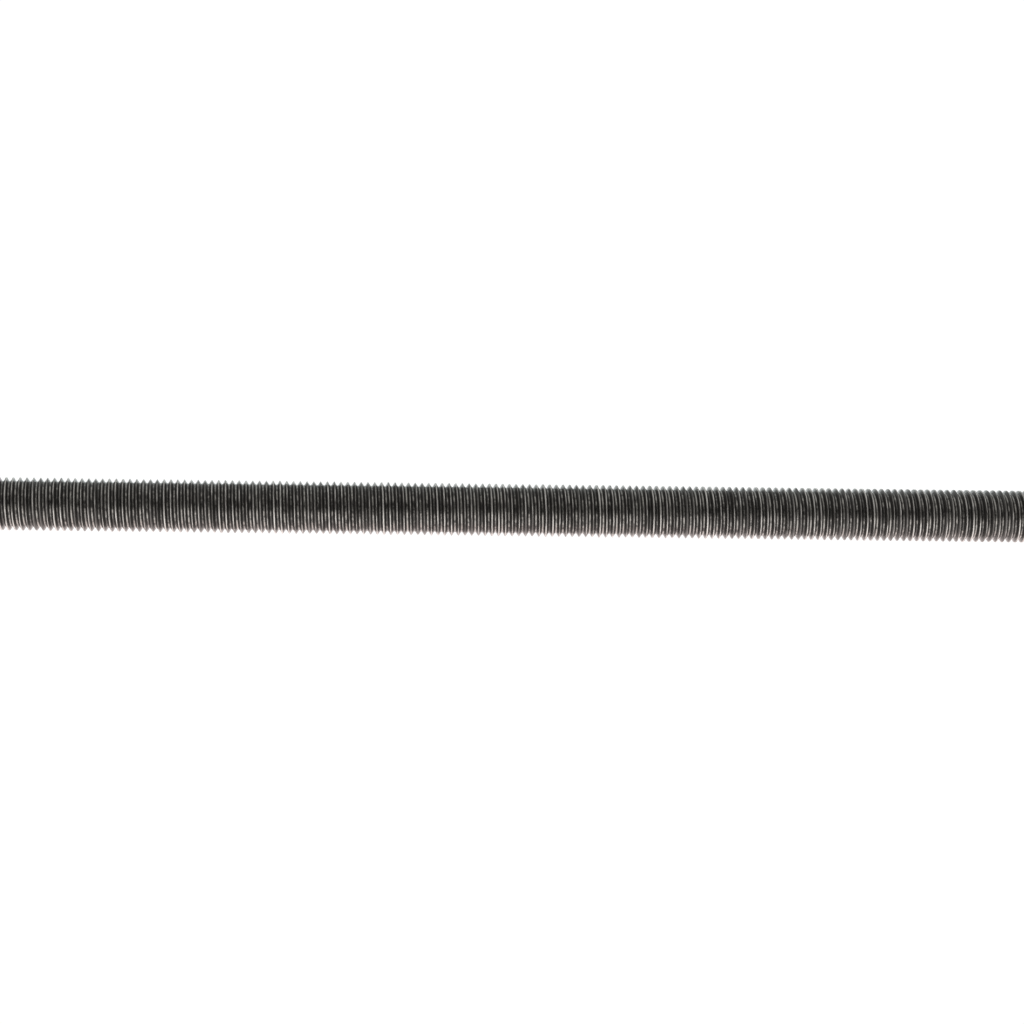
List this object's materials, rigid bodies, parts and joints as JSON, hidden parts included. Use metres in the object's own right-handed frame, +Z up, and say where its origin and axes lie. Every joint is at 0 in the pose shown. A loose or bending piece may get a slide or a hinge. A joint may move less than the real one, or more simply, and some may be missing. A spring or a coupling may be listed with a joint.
{
  "type": "threaded rod",
  "caption": "Fully threaded plain steel rod with chamfered ends, for clamping, hanging and tying parts together with nuts.",
  "frame": {"origin": "middle of the rod, on its axis", "axes": "+X along the rod's axis, +Z up, the rod lying level"},
  "size_m": [0.5, 0.0156, 0.0156],
  "materials": {
    "dark_steel": "rolled thread, black oxide with a thin film of oil"
  },
  "bodies": {
    "root": {"threaded_rod": "dark_steel"}
  },
  "joints": []
}
